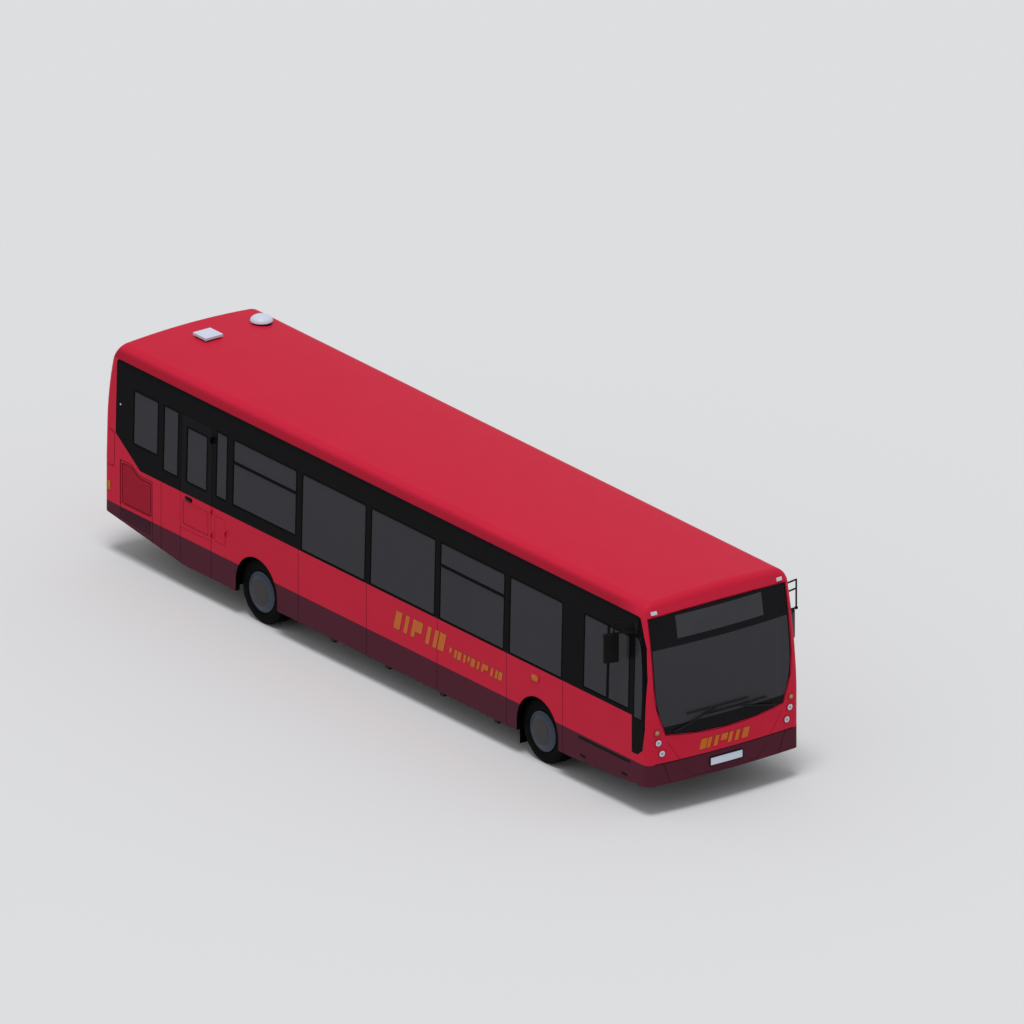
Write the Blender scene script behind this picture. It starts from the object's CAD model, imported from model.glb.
# City bus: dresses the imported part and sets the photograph's view.
import math

import bmesh
import bpy
import numpy as np
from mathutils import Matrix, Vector


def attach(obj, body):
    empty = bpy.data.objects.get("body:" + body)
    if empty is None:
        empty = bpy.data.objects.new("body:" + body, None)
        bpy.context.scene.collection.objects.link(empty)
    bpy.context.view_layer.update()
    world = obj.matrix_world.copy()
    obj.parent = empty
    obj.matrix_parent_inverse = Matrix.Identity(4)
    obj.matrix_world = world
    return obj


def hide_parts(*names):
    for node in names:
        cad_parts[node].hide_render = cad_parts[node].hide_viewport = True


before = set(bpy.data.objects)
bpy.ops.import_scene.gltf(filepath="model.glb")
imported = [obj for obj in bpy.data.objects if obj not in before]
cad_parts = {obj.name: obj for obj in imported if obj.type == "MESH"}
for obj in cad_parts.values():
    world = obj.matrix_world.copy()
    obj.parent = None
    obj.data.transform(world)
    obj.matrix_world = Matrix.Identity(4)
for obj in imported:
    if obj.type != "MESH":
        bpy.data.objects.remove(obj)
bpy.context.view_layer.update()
print("frame loaded")

busBody = "bus_body"
forward, backward = (1, 0, 0), (-1, 0, 0)

# The body's own skin, as the part has it: a surface patch asks these for its place.
skin = {"front": 6.01, "rear": -6.01, "half": 1.25, "leanZ": 1.34, "lean": 0.036, "bandTop": 2.776,
        "bow": 11.1, "rakeZ": 1.18, "rake": 7.7, "tailZ": 1.83, "tail": 4.0, "waist": 1.362, "line": 0.73}


def sideHalf(z):  # half width at a height: upright, then leaning in
    lean = skin["lean"] / (skin["bandTop"] - skin["leanZ"])
    return skin["half"] - np.clip(z - skin["leanZ"], 0, None) * lean


def frontX(y, z):  # a drum about an upright axis, whose radius shrinks along an arc above the rake line
    rise = np.clip(z - skin["rakeZ"], 0, None)
    radius = skin["bow"] - skin["rake"] + np.sqrt(skin["rake"] ** 2 - rise ** 2)
    return skin["front"] - skin["bow"] + np.sqrt(radius ** 2 - y ** 2)


def rearX(z):  # upright, then an arc that leans forward
    rise = np.clip(z - skin["tailZ"], 0, None)
    return skin["rear"] + skin["tail"] - np.sqrt(skin["tail"] ** 2 - rise ** 2)


def joined(*coordinates):  # arrays of single coordinates as one array of points
    return np.stack(np.broadcast_arrays(*coordinates), axis=-1)


def onSide(side):  # places a patch given as distance behind the front, height and lift off the skin
    return lambda d, z, lift: joined(skin["front"] - d, side * (sideHalf(z) + lift), z)


def onFront(y, z, lift):  # the same for the front face, given as place across, height and lift
    return joined(frontX(y, z) + lift, y, z)


def onRear(y, z, lift):  # and for the rear face
    return joined(rearX(z) - lift, y, z)


# each side's sign, its word, its place on the skin and the direction outwards
bothSides = [(side, hand, onSide(side), (0, side, 0)) for side, hand in ((-1, "right"), (1, "left"))]

# Meshes


def addMesh(name, parts, material, outward=None, ridesOn=busBody, sharp=35):
    # each part is points and faces; its faces are turned to look outward, and seams and poles are closed
    points, faces, start = [], [], 0
    for somePoints, someFaces in parts:
        corners = somePoints[someFaces]
        normals = np.cross(corners[:, 2] - corners[:, 0], corners[:, -1] - corners[:, 1])
        if outward is None:
            sense = (normals * (corners.mean(axis=1) - somePoints.mean(axis=0))).sum()
        else:
            sense = (normals @ np.asarray(outward, float)).sum()
        points.append(somePoints)
        faces += ((someFaces if sense > 0 else someFaces[:, ::-1]) + start).tolist()
        start += len(somePoints)
    mesh = bpy.data.meshes.new(name)
    mesh.from_pydata(np.concatenate(points).tolist(), [], faces)
    form = bmesh.new()
    form.from_mesh(mesh)
    bmesh.ops.remove_doubles(form, verts=form.verts, dist=1e-5)
    form.to_mesh(mesh)
    form.free()
    mesh.polygons.foreach_set("use_smooth", [True] * len(mesh.polygons))
    mesh.set_sharp_from_angle(angle=math.radians(sharp))
    piece = bpy.data.objects.new(name, mesh)
    bpy.context.collection.objects.link(piece)
    mesh.materials.append(material)
    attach(piece, ridesOn)
    return piece


def grid(points, closeRows=False, closeColumns=False):
    # part from rows of points: a quad between each four neighbours, wrapped round where it closes
    rows, columns = points.shape[:2]
    i, j = np.indices((rows - (not closeRows), columns - (not closeColumns)))
    nextI, nextJ = (i + 1) % rows, (j + 1) % columns
    corners = joined(i * columns + j, i * columns + nextJ, nextI * columns + nextJ, nextI * columns + j)
    return points.reshape(-1, 3), corners.reshape(-1, 4)


def unit(arrows, least=0.0):  # arrows brought to a length of one
    return arrows / (np.linalg.norm(arrows, axis=1)[:, None] + least)


def unitCircle(steps):  # cosines and sines of evenly spaced angles
    angle = np.linspace(0, 2 * math.pi, steps, endpoint=False)
    return np.array([np.cos(angle), np.sin(angle)])


def lathe(profile, centre, axis, steps=48):
    # surface of revolution: (radius, along) pairs turned round an axis through the centre
    radius, w = np.asarray(profile, float).T[..., None]
    u, v = (radius * part for part in unitCircle(steps))
    order = {"x": (w, u, v), "y": (u, w, v), "z": (u, v, w)}[axis]
    return grid(joined(*order) + np.asarray(centre, float), closeColumns=True)


def tube(path, radius, sides):
    # round bar along a path of points, drawn in to a point at both ends
    path = np.asarray(path, float)
    ahead = unit(np.gradient(path, axis=0))
    helper = np.where(np.abs(ahead[:, 2:3]) > 0.9, [[1.0, 0, 0]], [[0, 0, 1.0]])
    first = unit(np.cross(ahead, helper))
    cosine, sine = unitCircle(sides)[..., None]
    points = path[:, None] + radius * (first[:, None] * cosine + np.cross(ahead, first)[:, None] * sine)
    return grid(np.concatenate([path[:1, None] + 0 * points[:1], points, path[-1:, None] + 0 * points[-1:]]),
                closeColumns=True)


def roundedLoop(u0, u1, v0, v1, radius, steps=6):
    # closed path round a rectangle with quarter circles at its corners
    radius = min(radius, (u1 - u0) / 2, (v1 - v0) / 2)
    turn = np.linspace(0, math.pi / 2, steps)
    loops = []
    for k, (cu, cv) in enumerate([(u1 - radius, v1 - radius), (u0 + radius, v1 - radius),
                                  (u0 + radius, v0 + radius), (u1 - radius, v0 + radius)]):
        angle = turn + k * math.pi / 2
        loops.append(joined(cu + radius * np.cos(angle), cv + radius * np.sin(angle)))
    return np.concatenate(loops)


def block(x, y, z, ease=0.003):
    # box with eased edges: a grid round a section, drawn in towards both ends
    x0, x1, y0, y1, z0, z1 = *x, *y, *z
    loop = roundedLoop(x0, x1, y0, y1, ease * 2, 3)
    middle = np.array([(x0 + x1) / 2, (y0 + y1) / 2])
    small = middle + (loop - middle) * (1 - 2 * ease / np.array([x1 - x0, y1 - y0]))
    rows = [(middle + 0 * loop, z0), (small, z0), (loop, z0 + ease), (loop, z1 - ease), (small, z1),
            (middle + 0 * loop, z1)]
    return grid(np.stack([joined(*ring.T, level) for ring, level in rows]), closeColumns=True)


def densified(loop, length):  # closed path with points no further apart than a length
    loop = np.asarray(loop, float)
    points = []
    for a, b in zip(loop, np.roll(loop, -1, axis=0)):
        count = max(1, int(np.ceil(np.linalg.norm(b - a) / length)))
        points.append(a + (b - a) * np.linspace(0, 1, count, endpoint=False)[:, None])
    return np.concatenate(points)


def offsetLoop(loop, distance):  # closed path moved outward along its own normals
    ahead = unit(np.roll(loop, -1, axis=0) - loop, 1e-12)
    behind = unit(loop - np.roll(loop, 1, axis=0), 1e-12)
    tangent = unit(ahead + behind, 1e-12)
    normal = joined(tangent[:, 1], -tangent[:, 0])
    stretch = 1 / np.clip((normal * joined(ahead[:, 1], -ahead[:, 0])).sum(axis=1), 0.5, 1)
    return loop + normal * (distance * stretch)[:, None]


def border(place, loop, profile):
    # band along a closed path: the profile gives outward distance and lift, place puts it on the skin
    rings = [place(*offsetLoop(loop, out).T, lift) for out, lift in profile]
    return grid(np.stack(rings, axis=1), closeRows=True)


def strip(place, path, width, lift):
    # raised band along an open path of (u, v) points, with its edges turned down
    ahead = unit(np.gradient(path, axis=0))
    normal = joined(ahead[:, 1], -ahead[:, 0])
    half, low = width / 2, lift - 0.002
    profile = [(-half, low), (-half, lift), (half, lift), (half, low)]
    return grid(np.stack([place(*(path + normal * out).T, height) for out, height in profile], axis=1))


def line(place, path, width, lift, spacing=0.08):  # such a band, with points added to follow the skin
    path = np.asarray(path, float)
    length = np.concatenate([[0], np.cumsum(np.linalg.norm(np.diff(path, axis=0), axis=1))])
    at = np.unique(np.concatenate([length, np.arange(0, length[-1], spacing)]))
    return strip(place, joined(*(np.interp(at, length, row) for row in path.T)), width, lift)


def upright(place, d, z0, z1, width, lift, spacing=0.06):  # such a band from one height to another
    z = np.linspace(z0, z1, max(2, int((z1 - z0) / spacing)))
    return strip(place, joined(d, z), width, lift)


def disc(place, u, v, profile, steps=28):
    # round form on the skin: the profile's (radius, lift) rings follow it
    radius, rise = np.array(profile).T[..., None]
    cosine, sine = unitCircle(steps)
    return grid(place(u + radius * cosine, v + radius * sine, rise), closeColumns=True)


def filled(place, loop, lift, depth=0.002):
    # flat plate on the skin inside a closed path: its edge turned down, its face drawn in to the middle
    middle = loop.mean(axis=0)
    rows = [(1.0, lift - depth), (1.0, lift), (0.55, lift), (0.0, lift)]
    return grid(np.stack([place(*(middle + (loop - middle) * share).T, height) for share, height in rows]),
                closeColumns=True)


def barPatch(place, u0, u1, v0, v1, lift, depth=0.006, steps=(2, 2), slant=0.0):
    # raised rectangle: its top at the lift and its edges turned down to the skin; the slant leans its ends
    u = np.array([u0, u0, *np.linspace(u0, u1, steps[0]), u1, u1])
    v = np.array([v0, v0, *np.linspace(v0, v1, steps[1]), v1, v1])
    fall = np.full((len(u), len(v)), lift)
    fall[0, :] = fall[-1, :] = fall[:, 0] = fall[:, -1] = lift - depth
    u, v = np.meshgrid(u, v, indexing="ij")
    return grid(place(u + slant * (v - v0), v, fall))


# Rings of a padded block: share of the outline, share of the thickness and share of the crown
padRings = [(0.0, 0.0, 0.0), (0.6, 0.0, 0.0), (0.93, 0.0, 0.0), (0.985, 0.12, 0.0), (1.0, 0.30, 0.0),
            (1.0, 0.49, 0.0), (0.98, 0.50, 0.0), (1.0, 0.51, 0.0), (1.0, 0.72, 0.0), (0.975, 0.92, 0.05),
            (0.90, 1.0, 0.30), (0.72, 1.0, 0.72), (0.40, 1.0, 0.94), (0.0, 1.0, 1.0)]


def pad(low, high, axis, crown):
    # padded block: crowned over one axis, drawn in between its corners, with a seam round the middle
    low, high = np.array(low), np.array(high)
    others = [k for k in range(3) if k != axis]
    u0, v0 = low[others]
    u1, v1 = high[others]
    loop = densified(roundedLoop(u0, u1, v0, v1, 0.05, 4), 0.12)
    middle = np.array([(u0 + u1) / 2, (v0 + v1) / 2])
    share = (loop - middle) / (np.array([u1 - u0, v1 - v0]) / 2)
    pull = 1 - 0.03 * (1 - np.abs(share).min(axis=1)) ** 2  # most between the corners
    thick = high[axis] - low[axis] - crown
    points = np.zeros((len(padRings), len(loop), 3))
    for ring, (scale, height, rise) in zip(points, padRings):
        ring[:, others] = middle + (loop - middle) * (scale * pull)[:, None]
        ring[:, axis] = low[axis] + thick * height + crown * rise
    return grid(points, closeColumns=True)


# Materials: a pattern's scale is 1000 over its size in millimetres, such as 160 for orange peel of 6 mm


def linear(hexText):  # sRGB hex to linear colour
    parts = [int(hexText[i:i + 2], 16) / 255 for i in (0, 2, 4)]
    return [c / 12.92 if c <= 0.04045 else ((c + 0.055) / 1.055) ** 2.4 for c in parts] + [1.0]


def setNode(tree, node, given):  # a node's settings and inputs, by name or number; a socket is linked in
    for key, value in given.items():
        if isinstance(key, str) and key not in node.inputs:
            setattr(node, key, value)
        elif isinstance(value, bpy.types.NodeSocket):
            tree.links.new(value, node.inputs[key])
        else:
            node.inputs[key].default_value = value
    return node


def addNode(tree, kind, given=None):  # a new shader node of a kind, with its settings and links
    return setNode(tree, tree.nodes.new("ShaderNode" + kind), given or {})


def newMaterial(name):  # material with its tree, its shader and the Object coordinates
    material = bpy.data.materials.new(name)
    material.use_nodes = True
    tree = material.node_tree
    return material, tree, tree.nodes["Principled BSDF"], addNode(tree, "TexCoord").outputs["Object"]


def layered(tree, ground, layers):  # colours laid over a ground in turn, each by a socket's share
    colour = linear(ground)
    for share, tint in layers:
        colour = addNode(tree, "Mix", {"data_type": "RGBA", 0: share, 6: colour, 7: linear(tint)}).outputs[2]
    return colour


def coachPaint(name, dark, light, roughness, dust, specular=0.04, above=None, corner=None, cant=None):
    # two-pack coach enamel, sprayed and polished: even colour, thin gloss, faint orange peel, dust low down
    material, tree, shader, coordinates = newMaterial(name)
    place = addNode(tree, "SeparateXYZ", {"Vector": coordinates}).outputs
    cloud = addNode(tree, "TexNoise", {"Vector": coordinates, "Scale": 1.3, "Detail": 3.0})
    layers = [(cloud.outputs["Fac"], light)]
    if above:  # a second colour above a height
        step = addNode(tree, "Math", {"operation": "GREATER_THAN", 0: place["Z"], 1: above["z"]})
        layers.append((step.outputs[0], above["colour"]))
    if corner:  # a second colour outside a rounded corner, given by its centre and radius
        arrow = coordinates
        for operation, value in (("SUBTRACT", (corner["x"], 0, corner["z"])), ("MULTIPLY", (-1, 0, 1)),
                                 ("MAXIMUM", (0, 0, 0))):
            arrow = addNode(tree, "VectorMath", {"operation": operation, 0: arrow, 1: value}).outputs[0]
        far = addNode(tree, "VectorMath", {"operation": "LENGTH", 0: arrow}).outputs["Value"]
        step = addNode(tree, "Math", {"operation": "GREATER_THAN", 0: far, 1: corner["radius"]})
        layers.append((step.outputs[0], corner["colour"]))
    if cant:  # a deeper tone along the cant rails, which fades out towards the front
        out = addNode(tree, "Math", {"operation": "ABSOLUTE", 0: place["Y"]}).outputs[0]
        tone = addNode(tree, "MapRange", {"From Min": cant["from"], "From Max": cant["full"], "Value": out})
        fade = addNode(tree, "MapRange", {"From Min": cant["gone"], "From Max": cant["fade"],
                                          "To Max": tone.outputs["Result"], "Value": place["X"]})
        layers.append((fade.outputs["Result"], cant["colour"]))
    grain = addNode(tree, "TexNoise", {"Vector": coordinates, "Scale": 9.0, "Detail": 6.0}).outputs["Fac"]
    low = addNode(tree, "MapRange", {"From Min": 0.9, "From Max": 0.3, "To Max": dust, "Value": place["Z"]})
    share = addNode(tree, "Math", {"operation": "MULTIPLY", 0: low.outputs["Result"], 1: grain})
    layers.append((share.outputs[0], "6a5f58"))
    gloss = addNode(tree, "MapRange", {"To Min": roughness * 0.9, "To Max": roughness * 1.1, "Value": grain})
    peel = addNode(tree, "TexNoise", {"Vector": coordinates, "Scale": 160.0, "Detail": 1.0})
    bump = addNode(tree, "Bump", {"Strength": 0.04, "Distance": 0.001, "Height": peel.outputs["Fac"]})
    setNode(tree, shader, {"Base Color": layered(tree, dark, layers), "Specular IOR Level": specular,
                           "Roughness": gloss.outputs["Result"], "Normal": bump.outputs["Normal"]})
    return material


def plainFinish(name, dark, light, roughness, specular=0.5, metal=0.0, coat=0.0, alpha=1.0, cloud=4.0,
                grain=900.0, bump=0.15):
    # moulded or coated surface: its colour wanders a little, with a fine grain in bump and gloss
    material, tree, shader, coordinates = newMaterial(name)
    wander = addNode(tree, "TexNoise", {"Vector": coordinates, "Scale": cloud, "Detail": 4.0}).outputs["Fac"]
    gloss = addNode(tree, "MapRange", {"To Min": roughness * 0.85, "To Max": roughness * 1.15,
                                       "Value": wander})
    setNode(tree, shader, {"Base Color": layered(tree, dark, [(wander, light)]), "Metallic": metal,
                           "Specular IOR Level": specular, "Coat Weight": coat, "Alpha": alpha,
                           "Roughness": gloss.outputs["Result"]})
    if bump:
        fine = addNode(tree, "TexNoise", {"Vector": coordinates, "Scale": grain, "Detail": 2.0})
        relief = addNode(tree, "Bump", {"Strength": bump, "Distance": 0.0006, "Height": fine.outputs["Fac"]})
        setNode(tree, shader, {"Normal": relief.outputs["Normal"]})
    return material


def wovenMoquette(name, ground, motif):
    # wool moquette seat cloth: a dark pile with small woven squares and a matt sheen
    material, tree, shader, coordinates = newMaterial(name)
    weave = addNode(tree, "TexChecker", {"Vector": coordinates, "Scale": 28.0})  # 36 mm squares
    pile = addNode(tree, "TexNoise", {"Vector": coordinates, "Scale": 700.0, "Detail": 2.0})
    wear = addNode(tree, "TexNoise", {"Vector": coordinates, "Scale": 5.0, "Detail": 3.0})
    bump = addNode(tree, "Bump", {"Strength": 0.5, "Distance": 0.001, "Height": pile.outputs["Fac"]})
    colour = layered(tree, ground, [(weave.outputs["Fac"], motif), (wear.outputs["Fac"], ground)])
    setNode(tree, shader, {"Base Color": colour, "Roughness": 0.92, "Specular IOR Level": 0.15,
                           "Sheen Weight": 0.25, "Normal": bump.outputs["Normal"]})
    return material


redEnamel = {"dark": "c6223b", "light": "cb2640", "roughness": 0.4, "dust": 0.02}
redPaint = coachPaint("red coach enamel", **redEnamel)  # full colour, hardly any mirror image
roofPaint = coachPaint("red coach enamel, roof", **redEnamel, cant={
    "from": 1.1125, "full": 1.1635, "colour": "a41c31", "fade": 5.2, "gone": 5.7})
doorPaint = coachPaint("red and black door enamel", **redEnamel, above={
    "z": skin["waist"], "colour": "111013"})
maroonPaint = coachPaint("maroon coach enamel", "50212f", "552332", 0.5, 0.05)  # duller, with road dust
blackPaint = coachPaint("black coach enamel", "0a090c", "0e0d10", 0.35, 0.0, 0.03, corner={
    "x": -5.712, "z": 2.731, "radius": 0.045, "colour": "c8293f"})  # runs into the glass without a seam
leafPaint = coachPaint("black leaf enamel", "0a090c", "0e0d10", 0.35, 0.02)
glass = {"specular": 0.1, "alpha": 0.93, "cloud": 0.7, "bump": 0.0}  # dark and smooth, just see-through
tintedGlass = plainFinish("tinted float glass", "333338", "39393f", 0.12, **glass)
frontGlass = plainFinish("laminated screen glass", "38383c", "3e3e43", 0.1, **glass)
displayGlass = plainFinish("display glass", "3e3e42", "444448", 0.2, 0.05, bump=0.0)  # paler than its border
printedBlack = plainFinish("ceramic black print", "17171a", "1b1b1e", 0.3, 0.04, bump=0.0)  # flat black
mirrorFace = plainFinish("mirror glass", "b8bcc2", "c0c4ca", 0.05, metal=1.0, bump=0.0)  # a clear image
blackRubber = plainFinish("extruded black rubber", "040405", "070708", 0.6, 0.04)  # deep black, no shine
tyreRubber = plainFinish("worn tyre rubber", "070708", "0c0c0d", 0.75, 0.06, grain=250, bump=0.4)  # dull
blackPlastic = plainFinish("grained black plastic", "0a0a0b", "0f0f11", 0.5, 0.1, grain=500, bump=0.3)
archPlastic = plainFinish("sprayed arch lining", "030304", "060607", 0.8, 0.04, grain=300, bump=0.5)  # rough
whitePlastic = plainFinish("moulded white plastic", "ccd5e6", "d6deee", 0.35, 0.3)  # cool white, soft shine
frameSteel = plainFinish("black chassis paint", "0e0e0f", "1a1918", 0.6, 0.2, grain=200, bump=0.4)  # lumpy
wheelPaint = plainFinish("dusty wheel enamel", "373638", "403e40", 0.5, 0.2, cloud=6, grain=300, bump=0.2)
trimPaint = plainFinish("blue-grey wheel trim enamel", "3a414e", "424957", 0.4, 0.2, cloud=5, grain=300)
bareSteel = plainFinish("brushed stainless steel", "8c9096", "a2a6ab", 0.3, metal=1.0, grain=600, bump=0.1)
castIron = plainFinish("cast iron", "2c2e2e", "3a3c3b", 0.65, metal=0.6, grain=150, bump=0.8)  # sandy, grey
laminate = plainFinish("grey cab laminate", "6a6b6e", "74757a", 0.45)  # even, wipe-clean
vinylFloor = plainFinish("gritted vinyl floor", "33343a", "42444b", 0.7, cloud=60, grain=700, bump=0.5)
railCoating = plainFinish("yellow rail coating", "d98e10", "e29a18", 0.3)  # bright and smooth
amberLens = plainFinish("amber acrylic lens", "ad6a06", "b8760c", 0.3, 0.15, coat=0.1)
redLens = plainFinish("red acrylic lens", "9c1414", "b01c1c", 0.2, coat=0.6)
clearLens = plainFinish("clear acrylic lens", "b9c2d2", "d5dcea", 0.2, coat=0.4, cloud=40)  # ribs as mottling
orangeFilm = plainFinish("cut vinyl film, orange", "c8641f", "cd6a24", 0.4, 0.15)  # flat colour, sharp edge
shadeFilm = plainFinish("cut vinyl film, dark edge", "5a1f14", "642416", 0.5, 0.1)
meshPaint = plainFinish("red grille enamel", "b01f35", "b7223a", 0.45, 0.08)
deepShade = plainFinish("shade behind the grille", "961a2e", "9e1c31", 0.8, 0.04)
creaseShade = plainFinish("pressed crease in red", "9e1c31", "a81f36", 0.5, 0.08)
recessShade = plainFinish("pressed crease in maroon", "43202c", "48222f", 0.6, 0.05)
jointLine = plainFinish("shadowed panel joint", "4a0e1c", "5a1424", 0.7, 0.1)  # reads as a gap between panels
darkJoint = plainFinish("shadowed skirt joint", "1c0a10", "240e15", 0.7, 0.1)
bandJoint = plainFinish("sealed joint on black", "060607", "0a0a0b", 0.6, 0.1)
moquette = wovenMoquette("wool moquette", "241f3c", "3a3562")

for finish, nodeNames in (
        (redPaint, "front_panel rear_panel engine_flap offside_side_panels nearside_side_panels fuel_flap"),
        (roofPaint, "roof"), (doorPaint, "emergency_door"),
        (leafPaint, "entrance_leaf_front entrance_leaf_rear"),
        (maroonPaint, "side_skirts front_bumper rear_bumper"),
        (blackPaint, "offside_window_band nearside_window_band"), (frontGlass, "windscreen"),
        (tintedGlass, "rear_window side_windows emergency_door_glass entrance_leaf_front_glass "
                      "entrance_leaf_rear_glass"),
        (blackPlastic, "destination_panel dashboard steering_wheel mirrors"),
        (whitePlastic, "roof_vents number_plates"), (archPlastic, "wheel_boxes"), (vinylFloor, "floor"),
        (laminate, "door_gear cab_partition"), (castIron, "engine"), (railCoating, "handrails"),
        (frameSteel, "chassis_frame front_axle rear_axle knuckle_nearside knuckle_offside fuel_tank wipers"),
        (moquette, "seats driver_seat"), (clearLens, "head_lamps"), (amberLens, "amber_lamps"),
        (redLens, "tail_lamps"),
        (wheelPaint, "rim_front_nearside rim_front_offside rim_rear_nearside rim_rear_offside"),
        (tyreRubber, "tyre_front_nearside tyre_front_offside tyres_rear_nearside tyres_rear_offside")):
    for nodeName in nodeNames.split():
        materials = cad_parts[nodeName].data.materials
        materials.clear()
        materials.append(finish)
print("finishes on the packed nodes")

# Side windows: rubber seals, hopper bars, the driver's sliding pane and the corner glass
sideWindows = {
    "panes": [(1.970, 3.100, 1.390), (3.245, 4.630, 1.390), (4.765, 6.155, 1.390), (6.295, 7.670, 1.390),
              (7.820, 9.180, 1.545), (10.860, 11.370, 1.708)],
    "rightOnly": [(0.495, 1.470, 1.430), (9.340, 9.550, 1.545), (10.415, 10.710, 1.545)],
    "leftOnly": [(9.340, 10.710, 1.545)], "head": 2.437, "cornerRadius": 0.014, "barLift": 0.003,
    "hoppers": [(3.245, 4.630), (7.820, 9.180)], "hopperBar": (2.114, 2.151), "divider": (0.93, 0.97, 1.43),
    "seal": [(-0.004, -0.0055), (0, -0.001), (0.004, 0.002), (0.02, 0.0025), (0.028, 0.001), (0.03, -0.002)],
    "corner": [(0.190, 1.333), (0.180, 1.45), (0.172, 1.70), (0.178, 1.95), (0.192, 2.153), (0.215, 2.32),
               (0.245, 2.43), (0.285, 2.487), (0.33, 2.493), (0.385, 2.493), (0.385, 1.333)],
    "cornerSeal": [(-0.002, -0.005), (0.001, 0.001), (0.014, 0.0015), (0.018, -0.002)]}


def paneLoop(d0, d1, sill, head):  # outline of a side pane
    return densified(roundedLoop(d0, d1, sill, head, sideWindows["cornerRadius"]), 0.25)


head = sideWindows["head"]
for side, hand, place, outward in bothSides:
    seals = [border(place, paneLoop(*pane, head), sideWindows["seal"])
             for pane in sideWindows["panes"] + sideWindows[hand + "Only"]]
    addMesh("window_seals_" + hand, seals, blackRubber, outward)
    rectangles = [hopper + sideWindows["hopperBar"] for hopper in sideWindows["hoppers"]]
    if side < 0:
        rectangles.append((*sideWindows["divider"], head))
    bars = [barPatch(place, *rectangle, sideWindows["barLift"]) for rectangle in rectangles]
    addMesh("window_bars_" + hand, bars, blackRubber, outward)
    ring = border(place, densified(sideWindows["corner"], 0.1), sideWindows["cornerSeal"])
    addMesh("corner_glass_seal_" + hand, [ring], blackRubber, outward)
print("window seals and bars")

# Panel joints: thin dark lines that follow the skin, and stop short of the colours' borders
joints = {"stations": [1.924, 3.161, 4.682, 6.240, 7.737, 9.650, 10.330, 10.752], "width": 0.007,
          "bandStations": [3.1725, 4.6975, 6.225, 7.745], "bandTop": 2.77, "lift": 0.0012, "gap": 0.001,
          "door": (9.6, 10.4), "underDoor": 0.862}
skirt = {"foot": 0.342, "noseLength": 1.75, "noseZ": 0.43, "tailStart": 10.23, "tailEnd": 12.065,
         "tailZ": 0.59}


def skirtFoot(d):  # underside of the skirts: it rises at both ends
    nose = skirt["noseZ"] + (skirt["foot"] - skirt["noseZ"]) * d / skirt["noseLength"]
    tail = skirt["foot"] + (skirt["tailZ"] - skirt["foot"]) * (d - skirt["tailStart"]) / (
        skirt["tailEnd"] - skirt["tailStart"])
    return max(skirt["foot"], nose, tail)


width, lift, gap = joints["width"], joints["lift"], joints["gap"]
skirtTop, panelFoot, panelTop, bandFoot = (level + sign * gap for level, sign in (
    (skin["line"], -1), (skin["line"], 1), (skin["waist"], -1), (skin["waist"], 1)))
atDoor = {d: joints["door"][0] < d < joints["door"][1] for d in joints["stations"]}
for side, hand, place, outward in bothSides:
    stations = [d for d in joints["stations"] if side < 0 or not atDoor[d]]
    tops = [joints["underDoor"] if atDoor[d] else panelTop for d in stations]
    upper = [upright(place, d, panelFoot, top, width, lift) for d, top in zip(stations, tops)]
    lower = [upright(place, d, skirtFoot(d), skirtTop, width, lift) for d in stations]
    dark = [upright(place, d, bandFoot, joints["bandTop"], width, lift) for d in joints["bandStations"]]
    addMesh("panel_joints_" + hand, upper, jointLine, outward)
    addMesh("skirt_joints_" + hand, lower, darkJoint, outward)
    addMesh("band_joints_" + hand, dark, bandJoint, outward)
print("panel joints")

# Windscreen: black printed border, header with the display window, rubber seal
screen = {"edge": [(1.125, 0.962), (1.22, 1.003), (1.3, 1.034), (1.4, 1.066), (1.493, 1.092), (1.6, 1.109),
                   (1.7, 1.119), (1.8, 1.124), (1.95, 1.126), (2.1, 1.126), (2.4, 1.125), (2.736, 1.124)],
          "dip": 1.040, "crown": 2.772, "frit": 1.235, "header": 2.308, "inset": 0.004, "lift": -0.0052,
          "display": (0.705, 2.405, 2.713), "displayLift": -0.0040,
          "seal": [(0.020, -0.0054), (0.0, -0.004), (-0.004, 0.002), (-0.010, 0.001)]}
edgeZ, edgeY = np.array(screen["edge"]).T
foot, top, footHalf, topHalf = edgeZ[0], edgeZ[-1], edgeY[0], edgeY[-1]


def screenHalf(z):  # half width of the glass at a height, between the points of its edge
    return np.interp(z, edgeZ, edgeY)


def footZ(y):  # lower edge: a parabola, lowest at the centre
    return screen["dip"] + (foot - screen["dip"]) * (y / footHalf) ** 2


def crownZ(y):  # upper edge: a parabola, highest at the centre
    return screen["crown"] - (screen["crown"] - top) * (y / topHalf) ** 2


def between(lowZ, highZ, halfWidth, lift, steps=(48, 10)):
    # patch of the front face between two curves of y, as wide as the height allows
    s, t = np.meshgrid(np.linspace(-1, 1, steps[0]), np.linspace(0, 1, steps[1]), indexing="ij")
    y = s
    for _ in range(3):  # the width depends on the height, and the height on the width
        z = lowZ(y) + (highZ(y) - lowZ(y)) * t
        y = s * halfWidth(z)
    return grid(onFront(y, z, lift))


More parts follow.
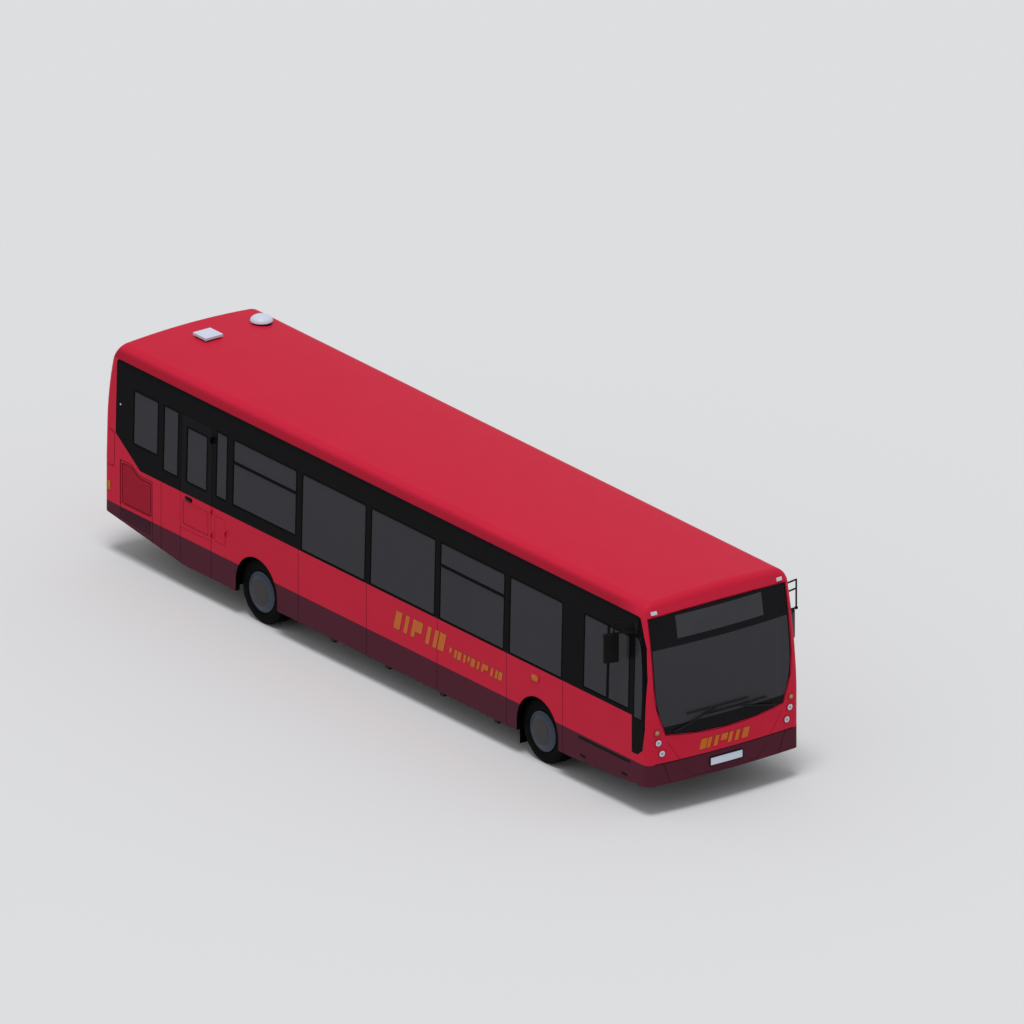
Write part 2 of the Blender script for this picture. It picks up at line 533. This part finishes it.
inset, lift = screen["inset"], screen["lift"]
header = between(lambda y: screen["header"], lambda y: crownZ(y) - inset, screenHalf, lift)
sill = between(lambda y: footZ(y) + inset, lambda y: screen["frit"], screenHalf, lift)
addMesh("screen_print", [header, sill], printedBlack, forward)
half, low, high = screen["display"]
display = between(lambda y: low, lambda y: high, lambda z: half, screen["displayLift"], (24, 6))
addMesh("display_window", [display], displayGlass, forward)
sideZ = np.linspace(foot, top, 40)
bottomY = np.linspace(footHalf, -footHalf, 40)[1:-1]
topY = np.linspace(-topHalf, topHalf, 40)[1:-1]
outline = np.concatenate([joined(screenHalf(sideZ[::-1]), sideZ[::-1]), joined(bottomY, footZ(bottomY)),
                          joined(-screenHalf(sideZ), sideZ), joined(topY, crownZ(topY))])
addMesh("screen_seal", [border(onFront, outline, screen["seal"])], blackRubber, forward)
print("windscreen")

# Tyres: a rubber section carried round the axle, with grooves cut into the tread and shoulders
tyres = {"axleZ": 0.447, "radius": 0.447, "steps": 240, "crown": [(-0.116, 0.4445), (-0.105, 0.4455)],
         "grooves": (-0.075, -0.026, 0.026, 0.075), "groove": 0.011, "grooveHalf": 0.0055,
         "grooveWall": 0.001, "lugs": 60, "lugDepth": 0.008, "lugShare": 0.72, "shoulder": (0.09, 0.43),
         "wall": [(0.117, 0.256), (0.117, 0.272), (0.128, 0.29), (0.138, 0.325), (0.1415, 0.355),
                  (0.139, 0.385), (0.1365, 0.392), (0.1365, 0.397), (0.135, 0.41), (0.131, 0.424),
                  (0.127, 0.434)],
         "front": (3.533, 1.0215, "tyre_front_", "wheel_front_"),
         "rear": (-2.647, 1.0215, "tyres_rear_", "wheels_rear_"), "twinY": 0.7005}


def tyreSection():  # half widths and radii from the inner bead over the tread to the outer bead
    half, wall, deep = tyres["grooveHalf"], tyres["grooveWall"], tyres["radius"] - tyres["groove"]
    tread = []
    for middle in tyres["grooves"]:
        tread += [(middle - half, tyres["radius"]), (middle - half + wall, deep),
                  (middle + half - wall, deep), (middle + half, tyres["radius"])]
    left, right = ([(sign * across, radius) for across, radius in tyres["wall"]] for sign in (-1, 1))
    crown = [(-across, radius) for across, radius in tyres["crown"]]
    return np.array(left + tyres["crown"] + tread + crown[::-1] + right[::-1])


def tyreParts(centreX, middleY):
    # every point goes round the axle; on the shoulders the radius drops between the lugs
    angle = np.linspace(0, 2 * math.pi, tyres["steps"], endpoint=False) - math.pi / 2
    across, radius = tyreSection().T[..., None]
    phase = (angle * tyres["lugs"] / (2 * math.pi) + (across > 0) * 0.5) % 1.0
    out, far = tyres["shoulder"]
    shoulder = (np.abs(across) > out) & (radius > far)
    radius = radius - tyres["lugDepth"] * (shoulder & (phase > tyres["lugShare"]))
    x, z = centreX + radius * np.cos(angle), tyres["axleZ"] + radius * np.sin(angle)
    return grid(joined(x, middleY + across, z), True, True)


for end in ("front", "rear"):
    centreX, middleY, nodeName, bodyName = tyres[end]
    for side, word, hand in ((-1, "offside", "right"), (1, "nearside", "left")):
        parts = [tyreParts(centreX, side * middleY)]
        if end == "rear":
            parts.append(tyreParts(centreX, side * tyres["twinY"]))
        tyre = addMesh("tyre_%s_%s" % (end, hand), parts, tyreRubber, ridesOn=bodyName + hand, sharp=30)
        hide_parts(nodeName + word)
print("tyres")

# Wheel trims: a shallow pressed dish over each rim, with a flat cap at its middle
trims = {"dish": [(0.272, 0.1150), (0.278, 0.1250), (0.278, 0.1395), (0.273, 0.1425), (0.263, 0.1420),
                  (0.259, 0.1395), (0.254, 0.1425), (0.192, 0.1690), (0.188, 0.1700), (0.184, 0.1690),
                  (0.182, 0.1660)],
         "cap": [(0.1835, 0.1655), (0.1825, 0.1695), (0.178, 0.1712), (0.110, 0.1724), (0.0, 0.1732)]}
for end in ("front", "rear"):
    centreX, middleY, _, bodyName = tyres[end]
    for side, hand, _, outward in bothSides:
        centre = (centreX, side * middleY, tyres["axleZ"])
        for form, finish in (("dish", trimPaint), ("cap", wheelPaint)):
            shape = lathe(np.array(trims[form]) * (1, side), centre, "y", 96)
            name = "wheel_trim_%s_%s_%s" % (form, end, hand)
            addMesh(name, [shape], finish, outward, bodyName + hand)
print("wheel trims")

# Wheel arches: black lining over the cut edge of the panels; its section gives inward shift and half width
arches = {"radius": 0.450, "centreZ": 0.493, "stations": (3.533, -2.647), "foot": 0.345,
          "section": [(-0.004, 1.249), (-0.004, 1.2525), (0.003, 1.2525), (0.003, 1.19)]}
for side, hand, *_ in bothSides:
    parts = []
    for station in arches["stations"]:
        angle = np.linspace(0, math.pi, 49)
        radius, foot = arches["radius"], arches["foot"]
        arc = joined(station + radius * np.cos(angle), arches["centreZ"] + radius * np.sin(angle))
        path = np.concatenate([[(station + radius, foot)], arc, [(station - radius, foot)]])
        inward = unit(joined(station - path[:, 0], np.clip(arches["centreZ"] - path[:, 1], None, 0)))
        rows = [np.insert(path + inward * shift, 1, side * half, axis=1) for shift, half in arches["section"]]
        parts.append(grid(np.stack(rows)))
    addMesh("arch_lips_" + hand, parts, archPlastic, (0, side, -0.6))
print("arch lips")

# Motifs: plain slanted bars in orange film with a dark edge
motifs = {"side": [(4.55, 5.74, 0.93, 1.195, 0.16, 0.08, -0.28), (3.27, 4.47, 0.925, 1.05, 0.1, 0.05, -0.28)],
          "front": [(-0.44, 0.42, 0.800, 0.945, 0.115, 0.062, 0.28)], "edge": 0.006, "lift": 0.0018,
          "edgeLift": 0.0010, "depth": 0.0012}


def slantedBars(place, u0, u1, v0, v1, pitch, width, slant, grow, lift):
    # parallel bars between two heights: every third one is wider, and every fourth starts higher
    parts = []
    for number, start in enumerate(np.arange(u0, u1 - width, pitch)):
        wide = width * (1.7 if number % 3 == 0 else 1.0)
        low = v0 + (0.35 * (v1 - v0) if number % 4 == 3 else 0.0)
        parts.append(barPatch(place, start - grow, start + wide + grow, low - grow, v1 + grow, lift,
                              motifs["depth"], (3, 3), slant))
    return parts


motifFaces = [("side_motif_" + hand, place, motifs["side"], outward) for _, hand, place, outward in bothSides]
for name, place, shapes, outward in motifFaces + [("front_motif", onFront, motifs["front"], forward)]:
    for ending, finish, grow, lift in (("", orangeFilm, 0.0, motifs["lift"]),
                                       ("_edge", shadeFilm, motifs["edge"], motifs["edgeLift"])):
        bars = sum((slantedBars(place, *shape, grow, lift) for shape in shapes), [])
        addMesh(name + ending, bars, finish, outward)
print("motifs")

# Front: bumper seams, lip, creases, lamp bezels and plate borders
frontLines = {"seam": [(1.0, 0.728), (0.8875, 0.432)], "lip": [(-1.130, 0.7300), (1.130, 0.7300)],
              "crease": [(0.945, 1.030), (0.742, 0.735)],
              "recess": [(0.670, 0.655), (0.635, 0.560), (0.580, 0.500), (0.500, 0.468), (0.0, 0.455)],
              "lift": 0.0012, "lipLift": 0.0025, "seamWidth": 0.009, "width": 0.012,
              "lamps": [(1.080, 1.035, 0.045), (1.025, 0.875, 0.045), (1.100, 1.180, 0.040)]}
plates = {"rim": [(0.012, -0.010), (0.010, 0.001), (-0.003, 0.0016), (-0.004, -0.002)], "half": 0.265,
          "front": (6.022, 1, 0.539, 0.650), "rear": (-6.022, -1, 0.600, 0.711)}


def mirroredLines(word, width=frontLines["width"]):  # one of the front's lines on both sides of the centre
    path = np.array(frontLines[word])
    return [line(onFront, path * (side, 1), width, frontLines["lift"]) for side in (-1, 1)]


bezels, cores = [], []
for side in (-1, 1):
    for y, z, radius in frontLines["lamps"]:
        bezels.append(disc(onFront, side * y, z, [(radius + 0.009, 0.0), (radius + 0.008, 0.010),
                                                  (radius + 0.002, 0.0135), (radius - 0.003, 0.0125)]))
        core = [(radius * 0.45, 0.0115), (radius * 0.4, 0.0145), (0.0, 0.0155)]
        cores.append(disc(onFront, side * y, z, core))
lip = line(onFront, frontLines["lip"], frontLines["width"], frontLines["lipLift"], 0.05)
addMesh("bumper_seams", mirroredLines("seam", frontLines["seamWidth"]) + [lip], darkJoint, forward)
addMesh("front_creases", mirroredLines("crease"), creaseShade, forward)
addMesh("bumper_recess", mirroredLines("recess"), recessShade, forward)
addMesh("lamp_bezels", bezels, creaseShade, forward)
addMesh("lamp_cores", cores, bareSteel, forward)
for end in ("front", "rear"):
    wallX, sense, z0, z1 = plates[end]
    loop = densified(roundedLoop(-plates["half"], plates["half"], z0, z1, 0.006, 3), 0.1)
    rim = border(lambda y, z, lift: joined(wallX + sense * lift, y, z), loop, plates["rim"])
    addMesh(end + "_plate_edge", [rim], blackPlastic, (sense, 0, 0))
print("front details")

# Sides: air intake with its diagonal slats, louvre, access panel, slots, marker lamps and door furniture
sides = {
    "intake": [(10.98, 0.805), (10.98, 1.254), (11.235, 1.254), (11.405, 1.354), (11.59, 1.354),
               (11.59, 0.805)],
    "outline": [(10.945, 0.731), (10.945, 1.294), (11.23, 1.294), (11.405, 1.394), (11.645, 1.394),
                (11.645, 0.731)],
    "slatPitch": 0.026, "slatWidth": 0.010, "slatLift": 0.003,
    "louvre": [(11.0, 0.535), (11.0, 0.69), (11.025, 0.706), (11.59, 0.706), (11.612, 0.69), (11.612, 0.6),
               (11.56, 0.582)],
    "blades": (11.03, 11.58, (0.615, 0.645, 0.675)), "doorPanel": (9.725, 10.275, 0.925, 1.262),
    "access": [(11.915, 1.748), (11.82, 1.748), (11.78, 1.7), (11.78, 1.3), (11.82, 1.248), (11.915, 1.248)],
    "holes": [(1.408, 1.543, 0.418, 0.458), (0.501, 0.629, 0.458, 0.498)], "slot": (0.44, 1.58, 0.663, 0.703),
    "marker": (11.865, 11.915, 0.898, 1.018), "stud": (11.670, 2.161),
    "studRings": [(0.0125, -0.001), (0.0125, 0.002), (0.010, 0.003), (0.0, 0.0035)],
    "signal": (2.525, 1.213), "signalSize": (0.079, 0.050), "handle": (10.070, 10.210, 1.275, 1.335),
    "doorGlass": (9.777, 10.197, 1.545, 2.292)}


def insideLoop(points, loop):  # which points lie in a closed path, by counting the edges on one side
    u, v = points.T[..., None]
    (u0, v0), (u1, v1) = loop.T, np.roll(loop, -1, axis=0).T
    crossed = (v0 > v) != (v1 > v)
    with np.errstate(divide="ignore", invalid="ignore"):
        at = u0 + (v - v0) * (u1 - u0) / (v1 - v0)
    return (crossed & (u < at)).sum(axis=1) % 2 == 1


def slatsIn(place, loop):
    # parallel bars at 45 degrees, each as long as the path around them allows
    parts = []
    low, high = loop.min(axis=0), loop.max(axis=0)
    along = np.linspace(0, 2.0, 801)
    for start in np.arange(low.sum(), high.sum(), sides["slatPitch"] * math.sqrt(2)):
        spots = joined(high[0] - along, start - high[0] + along)  # distance + height is constant
        kept = spots[insideLoop(spots, loop)]
        if len(kept) > 8:
            parts.append(line(place, kept[[0, -1]], sides["slatWidth"], sides["slatLift"], 0.3))
    return parts


def groove(place, loop, half):  # thin dark line round a closed path
    profile = [(-half - 0.0005, -0.001), (-half, 0.0014), (half, 0.0014), (half + 0.0005, -0.001)]
    return border(place, loop, profile)


def signalRings(place, rings):  # rings round the side signal, each a unit shape, its share and its lift
    centre, size = np.array(sides["signal"])[:, None], np.array(sides["signalSize"])[:, None]
    return grid(np.stack([place(*(centre + size * shape * share), lift) for shape, share, lift in rings]),
                closeColumns=True)


circle = unitCircle(48)
square = circle * (np.abs(circle) ** 8).sum(axis=0) ** -0.125  # with rounded corners
intake, louvre = (densified(sides[word], 0.1) for word in ("intake", "louvre"))
outlineEnds = sides["outline"][0][0], sides["outline"][-1][0]
lift = joints["lift"]
for side, hand, place, outward in bothSides:
    addMesh("intake_shade_" + hand, [filled(place, intake, 0.0008)], deepShade, outward)
    slats = slatsIn(place, np.array(sides["intake"]))
    addMesh("intake_slats_" + hand, slats, meshPaint, outward)
    dark = [groove(place, intake, 0.005), line(place, sides["outline"], 0.009, lift),
            line(place, sides["access"], 0.007, lift)]
    addMesh("side_cover_joints_" + hand, dark, jointLine, outward)
    d0, d1, heights = sides["blades"]
    blades = [line(place, [(d0, z), (d1, z)], 0.008, sides["slatLift"]) for z in heights]
    addMesh("skirt_louvre_" + hand, [filled(place, louvre, 0.0008)] + blades, recessShade, outward)
    dark = [groove(place, louvre, 0.004)]
    dark += [upright(place, d, skirtFoot(d), skirtTop, 0.009, lift) for d in outlineEnds]
    if side < 0:  # where the left side has its entrance
        dark += [filled(place, roundedLoop(*hole, 0.02, 5), 0.001) for hole in sides["holes"]]
        dark.append(filled(place, densified(roundedLoop(*sides["slot"], 0.012, 4), 0.15), 0.001))
    addMesh("skirt_openings_" + hand, dark, bandJoint, outward)
    marker = barPatch(place, *sides["marker"], 0.008, 0.009, (3, 3))
    addMesh("rear_marker_" + hand, [marker], amberLens, outward)
    addMesh("band_stud_" + hand, [disc(place, *sides["stud"], sides["studRings"], 20)], whitePlastic, outward)
    surround = signalRings(place, [(square, 1.10, -0.001), (square, 1.08, 0.0110), (square, 1.0, 0.0135),
                                   (circle, 0.90, 0.0135), (circle, 0.88, 0.0125)])
    addMesh("side_signal_surround_" + hand, [surround], redPaint, outward)
    lens = signalRings(place, [(circle, 0.88, 0.0122), (circle, 0.80, 0.0150), (circle, 0.45, 0.0175),
                               (circle, 0.0, 0.0180)])
    addMesh("side_signal_lens_" + hand, [lens], amberLens, outward)
    if side < 0:
        d0, d1, z0, z1 = sides["handle"]
        cup = filled(place, roundedLoop(d0, d1, z0, z1, 0.014, 5), 0.003, 0.004)
        lever = barPatch(place, d0 + 0.018, d1 - 0.012, z0 + 0.018, z1 - 0.018, 0.016, 0.014)
        addMesh("door_handle", [cup, lever], blackPlastic, outward, "emergency_exit")
        pressed = densified(roundedLoop(*sides["doorPanel"], 0.012, 3), 0.12)
        addMesh("door_panel_edge", [groove(place, pressed, 0.005)], creaseShade, outward, "emergency_exit")
        seal = border(place, paneLoop(*sides["doorGlass"]), sideWindows["seal"])
        addMesh("door_glass_seal", [seal], blackRubber, outward, "emergency_exit")
print("side details")

# Roof: dark foot under the dome and dark neck under the vent's lid
roofParts = {"dome": (-5.28, 0.8, 2.955), "vent": (-5.3515, -5.1085, -0.2365, 0.0065), "neck": (2.975, 3.006),
             "foot": [(0.1345, -0.020), (0.1345, 0.0310), (0.1325, 0.0312)]}
loop = roundedLoop(*roofParts["vent"], 0.008, 3)
neck = grid(np.stack([joined(*loop.T, level) for level in roofParts["neck"]]), closeColumns=True)
addMesh("roof_vent_feet", [lathe(roofParts["foot"], roofParts["dome"], "z"), neck], blackRubber)
print("roof details")

# Rear: window seal, engine louvres, lamp bezels and panel joints
rearFace = {"window": (-0.924, 0.924, 1.736, 2.464), "lamps": [(1.09, 1.0), (1.09, 1.13), (1.09, 1.26)],
            "bezel": [(0.054, 0.0), (0.053, 0.010), (0.047, 0.0135), (0.042, 0.0125)],
            "seal": [(-0.006, -0.006), (-0.002, 0.002), (0.012, 0.003), (0.022, 0.001), (0.024, -0.003)],
            "louvres": [(-0.62, -0.02), (0.02, 0.62)], "louvreZ": (1.02, 1.40, 0.042),
            "slat": [(0.0, 0.0), (0.004, 0.010), (0.018, 0.010), (0.034, 0.0)],
            "lip": [(-1.15, 0.731), (1.15, 0.731)]}
loop = densified(roundedLoop(*rearFace["window"], 0.05), 0.12)
seals = [border(onRear, loop, [(sign * out, lift) for out, lift in rearFace["seal"]]) for sign in (1, -1)]
addMesh("rear_window_seal", seals, blackRubber, backward)
bezels = [disc(onRear, side * y, z, rearFace["bezel"]) for side in (-1, 1) for y, z in rearFace["lamps"]]
addMesh("tail_lamp_bezels", bezels, blackPlastic, backward)
slats = []
for z in np.arange(*rearFace["louvreZ"]):
    for ends in rearFace["louvres"]:  # each slat leans out towards its lower edge, with a cheek at both ends
        points = np.array([[(rearX(z) - lift, y, z + rise) for y in ends] for rise, lift in rearFace["slat"]])
        slats += [grid(points)] + [(points[:, end], np.array([[0, 1, 2, 3]])) for end in (0, 1)]
addMesh("engine_louvres", slats, redPaint, backward, "engine_cover", sharp=20)
addMesh("rear_bumper_joint", [line(onRear, rearFace["lip"], 0.010, 0.0015)], darkJoint, backward)
print("rear details")

# Seats: padded cushions and backs on shells, with legs and grab rails
seatRows = {"rows": [(0.82, 0.38, (-1, 1), [1.98, 1.23, 0.48, -0.27, -1.02]),  # top, floor, sides, backs
                     (1.3, 1.025, (-1, 1), [-2.51, -3.26]), (1.3, 0.86, (1,), [-4.01])],
            "side": (0.27, 1.15), "depth": 0.42, "thick": 0.09, "back": 0.62, "bench": (-5.55, 1.58, 1.201),
            "benchPlaces": 5, "benchLegs": (-0.7, 0.0, 0.7)}
pads, shells, legs, rails = [], [], [], []


def seatPlace(back, top, y0, y1):
    # one place: cushion, backrest, and a thin shell behind and under
    front, tall = back + seatRows["thick"] + seatRows["depth"], top + seatRows["back"]
    soft, hard = (y0 + 0.006, y1 - 0.006), (y0 + 0.002, y1 - 0.002)
    pads.append(pad((back + 0.075, soft[0], top - 0.075), (front - 0.004, soft[1], top - 0.001), 2, 0.022))
    pads.append(pad((back + 0.020, soft[0], top - 0.010), (back + 0.089, soft[1], tall - 0.030), 0, 0.020))
    shells.append(block((back + 0.001, back + 0.018), hard, (top - 0.085, tall - 0.02), 0.004))
    shells.append(block((back + 0.020, front - 0.010), hard, (top - 0.088, top - 0.077)))


def seatStand(back, top, floor, y0, y1):
    # two legs on flat feet, and a grab rail over the backs
    base = floor + 0.001
    for y in (y0 + 0.20, y1 - 0.20):
        legs.append(block((back + 0.21, back + 0.25), (y - 0.02, y + 0.02), (base, top - 0.089)))
        legs.append(block((back + 0.19, back + 0.39), (y - 0.03, y + 0.03), (base, floor + 0.008), 0.002))
    over = top + seatRows["back"]
    path = [(0.05, 0.060), (0.05, 0.020), (0.075, 0.0135)]  # in from an end and down from the top
    rails.append(tube([(back + 0.045, y0 + along, over - down) for along, down in path] +
                      [(back + 0.045, y1 - along, over - down) for along, down in path[::-1]], 0.0125, 8))


inner, outer = seatRows["side"]
for top, floor, places, backs in seatRows["rows"]:
    for back in backs:
        for side in places:
            y0, y1 = sorted((side * inner, side * outer))
            seatPlace(back, top, y0, (y0 + y1) / 2)
            seatPlace(back, top, (y0 + y1) / 2, y1)
            seatStand(back, top, floor, y0, y1)
back, top, floor = seatRows["bench"]
edges = np.linspace(-outer, outer, seatRows["benchPlaces"] + 1)
for y0, y1 in zip(edges[:-1], edges[1:]):
    seatPlace(back, top, y0, y1)
for y in seatRows["benchLegs"]:
    legs.append(block((back + 0.20, back + 0.30), (y - 0.10, y + 0.10), (floor, top - 0.089), 0.004))
cushions = addMesh("seat_pads", pads, moquette)
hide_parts("seats")
addMesh("seat_shells", shells, laminate)
addMesh("seat_legs", legs, frameSteel)
addMesh("seat_rails", rails, railCoating)

# Driver's seat: pads on a pan, a folded bellows round the suspension post and a foot plate
driver = {"back": 4.610, "top": 1.040, "pan": (0.09, 0.50, -0.98, -0.54), "fold": (0.15, 0.43, -0.90, -0.62),
          "plate": (0.10, 0.50, -0.96, -0.56), "foot": 0.640, "folds": 5, "pitch": 0.055, "foldHeight": 0.050}
back, top, foot = driver["back"], driver["top"], driver["foot"]


def driverBlock(part, z0, z1, ease):  # block with the plan of a named part of the driver's seat
    x0, x1, y0, y1 = driver[part]
    return block((back + x0, back + x1), (y0, y1), (z0, z1), ease)


driverPads = [pad((back + 0.075, -0.995, top - 0.088), (back + 0.535, -0.525, top - 0.001), 2, 0.024),
              pad((back + 0.004, -0.985, top + 0.020), (back + 0.089, -0.535, top + 0.660), 0, 0.026)]
driverSeat = addMesh("driver_seat_pads", driverPads, moquette)
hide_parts("driver_seat")
levels = foot + driver["pitch"] * np.arange(driver["folds"])
stand = [driverBlock("pan", top - 0.115, top - 0.092, 0.004),
         *(driverBlock("fold", level, level + driver["foldHeight"], 0.012) for level in levels),
         driverBlock("plate", foot - 0.019, foot - 0.001, 0.004)]
addMesh("driver_seat_stand", stand, blackPlastic)
print("seats")

# Entrance leaves: rubber edges and grab handles that swing with each leaf
leaves = {"front": (4.976, 5.564, (4.978, 4.994), -0.22), "rear": (4.376, 4.964, (4.946, 4.962), 0.22),
          "face": 1.170, "inside": 1.136, "z": (0.470, 2.455), "rubber": (-0.001, 0.0015),
          "glass": (0.070, 0.598, 2.310),
          "seal": [(-0.006, -0.004), (-0.003, 0.0015), (0.012, 0.0015), (0.013, -0.001)],
          "grip": [(-0.001, 1.0), (0.03, 1.02), (0.038, 1.06), (0.038, 1.54), (0.03, 1.58), (-0.001, 1.6)]}


def onLeaf(x, z, lift):  # outer face of a closed leaf, given as place along, height and lift
    return joined(x, leaves["face"] + lift, z)


for word in ("front", "rear"):
    x0, x1, meeting, shift = leaves[word]
    body, (inset, sill, head) = word + "_leaf", leaves["glass"]
    strips = [block(meeting, tuple(leaves["face"] + out for out in leaves["rubber"]), leaves["z"], 0.0006)]
    loop = densified(roundedLoop(x0 + inset, x1 - inset, sill, head, 0.02, 4), 0.2)
    seals = [border(onLeaf, loop, [(sign * out, lift) for out, lift in leaves["seal"]]) for sign in (1, -1)]
    addMesh("leaf_rubbers_" + word, strips + seals, blackRubber, (0, 1, 0), body)
    grip = tube([((x0 + x1) / 2 + shift, leaves["inside"] - out, z) for out, z in leaves["grip"]], 0.012, 10)
    addMesh("leaf_handle_" + word, [grip], railCoating, None, body)
print("entrance leaves")

# Ceiling: a pale curved liner under the roof with two rows of lamp covers
ceiling = {"x": (-5.55, 5.15), "half": 1.06, "z": 2.885, "fall": 0.045, "lampStart": 0.4, "lampY": 0.62,
           "lampHalf": 0.07, "lampLength": 1.05, "lampPitch": 1.20}


def underCeiling(x, y, lift):  # below a parabola across the bus, highest on the centre line
    return joined(x, y, ceiling["z"] - ceiling["fall"] * (y / ceiling["half"]) ** 2 - lift)


x0, x1 = ceiling["x"]
liner = barPatch(underCeiling, x0, x1, -ceiling["half"], ceiling["half"], 0.004, 0.008, (12, 16))
covers = []
for x in np.arange(x0 + ceiling["lampStart"], x1 - ceiling["lampLength"], ceiling["lampPitch"]):
    for y in (-ceiling["lampY"], ceiling["lampY"]):
        covers.append(barPatch(underCeiling, x, x + ceiling["lampLength"], y - ceiling["lampHalf"],
                               y + ceiling["lampHalf"], 0.022, 0.018, (3, 6)))
addMesh("ceiling_liner", [liner], laminate, (0, 0, -1))
addMesh("ceiling_lamp_covers", covers, whitePlastic, (0, 0, -1))
print("ceiling")

# Toe board: a slope from the floor's front edge up to the inside of the bumper, drawn in at both ends
toeBoard = {"back": 5.836, "floor": 0.384, "station": 0.18, "top": 0.66, "half": 1.15, "clear": 0.062,
            "thick": 0.01}
foot = toeBoard["floor"] + skirtFoot(toeBoard["station"]) - skirt["foot"]  # it rises there as the skirts do
y = np.linspace(-toeBoard["half"], toeBoard["half"], 25)
y = np.concatenate([y[:1], y, y[-1:]])
behind, top, thick = toeBoard["back"], toeBoard["top"], toeBoard["thick"]
ahead = np.maximum(frontX(y, top) - toeBoard["clear"], behind + 0.004)
levels = [(behind, foot), (ahead, top), (ahead, top - thick), (behind, foot - thick)]
rows = np.stack([joined(x, y, z) for x, z in levels])
rows[:, [0, -1]] = rows[:, [0, -1]].mean(axis=0)
addMesh("toe_board", [grid(rows, closeRows=True)], vinylFloor)
print("toe board")

# Splash guards under the back walls of the rear wheel boxes
splashGuard = {"x": (-3.197, -3.187), "y": (0.56, 1.19), "z": (0.37, 0.738)}
guards = [block(splashGuard["x"], sorted(side * y for y in splashGuard["y"]), splashGuard["z"])
          for side in (-1, 1)]
addMesh("splash_guards", guards, archPlastic)
print("splash guards")

# Mirror glass on the rear of each head, given by its place behind the front, out and up, and how far it turns
mirrorHeads = {"right": (0.660, 0.155, 2.266, 18), "left": (0.454, 0.150, 1.983, 40),
               "glass": (-0.088, 0.088, -0.185, 0.185), "depth": 0.035}
up = np.array([0, 0, 1.0])
for side, hand, *_ in bothSides:
    behind, out, z, sweep = mirrorHeads[hand]
    turned = math.radians(side * sweep)
    centre = np.array([skin["front"] - behind, side * (skin["half"] + out), z])
    along = np.array([math.cos(turned), math.sin(turned), 0])
    across = np.array([-math.sin(turned), math.cos(turned), 0])
    loop = roundedLoop(*mirrorHeads["glass"], 0.02, 5)
    face = filled(lambda u, v, lift: centre + across * u[:, None] + up * v[:, None]
                  - along * (mirrorHeads["depth"] + lift), loop, 0.0015, 0.003)
    addMesh("mirror_glass_" + hand, [face], mirrorFace, tuple(-along))

# Instruments: a hood on the dashboard with three round dials
binnacle = {"x": (5.530, 5.660), "y": (-0.960, -0.560), "z": (1.262, 1.335), "dialZ": 1.298,
            "dials": [(-0.86, 0.028), (-0.76, 0.032), (-0.66, 0.028)]}
dials = []
for y, radius in binnacle["dials"]:
    rings = [(radius, 0), (radius, -0.003), (radius - 0.003, -0.004), (radius - 0.004, -0.0025), (0, -0.0025)]
    dials.append(lathe(rings, (binnacle["x"][0], y, binnacle["dialZ"]), "x", 24))
addMesh("binnacle", [block(binnacle["x"], binnacle["y"], binnacle["z"], 0.008)], blackPlastic)
addMesh("binnacle_dials", dials, clearLens, backward)
print("mirror glass and dashboard")

# Floor, lamps and camera
stage = {"floorHalf": 60.0, "floorColour": "dfe0e2", "sky": 0.5, "skyColour": "ffffff",
         "sun": (0.12, -0.16, 1.0), "sunStrength": 1.55, "sunSpread": 20.0}
floorPaint, tree, shader, _ = newMaterial("matt studio floor")
setNode(tree, shader, {"Base Color": linear(stage["floorColour"]), "Roughness": 0.9})
half = stage["floorHalf"]
mesh = bpy.data.meshes.new("studio_floor")
mesh.from_pydata([(-half, -half, 0), (half, -half, 0), (half, half, 0), (-half, half, 0)], [], [(0, 1, 2, 3)])
mesh.materials.append(floorPaint)
studioFloor = bpy.data.objects.new("studio_floor", mesh)
bpy.context.collection.objects.link(studioFloor)

world = bpy.data.worlds.new("studio")
bpy.context.scene.world = world
world.use_nodes = True
setNode(world.node_tree, world.node_tree.nodes["Background"],
        {"Color": linear(stage["skyColour"]), "Strength": stage["sky"]})


def addTurned(name, data, back):  # a lamp or camera that looks against the direction of its back
    made = bpy.data.objects.new(name, data)
    made.rotation_mode = "QUATERNION"
    made.rotation_quaternion = back.to_track_quat("Z", "Y")
    bpy.context.collection.objects.link(made)
    return made


light = bpy.data.lights.new("sun", "SUN")
light.energy = stage["sunStrength"]
light.angle = math.radians(stage["sunSpread"])
addTurned("sun", light, Vector(stage["sun"]))

view = {"azimuth": 53.24, "elevation": 21.73, "width": 13.474, "aim": (3.921, -1.958, 3.868), "back": 40.0}
turn, rise = math.radians(view["azimuth"]), math.radians(view["elevation"])
back = Vector((math.sin(turn) * math.cos(rise), -math.cos(turn) * math.cos(rise), math.sin(rise)))
lens = bpy.data.cameras.new("camera")
lens.type = "ORTHO"
lens.ortho_scale = view["width"]
lens.clip_end = 200
camera = addTurned("camera", lens, back)
camera.location = Vector(view["aim"]) + back * view["back"]
bpy.context.scene.camera = camera
bpy.context.scene.view_settings.view_transform = "Standard"
print("floor, lamps and camera")
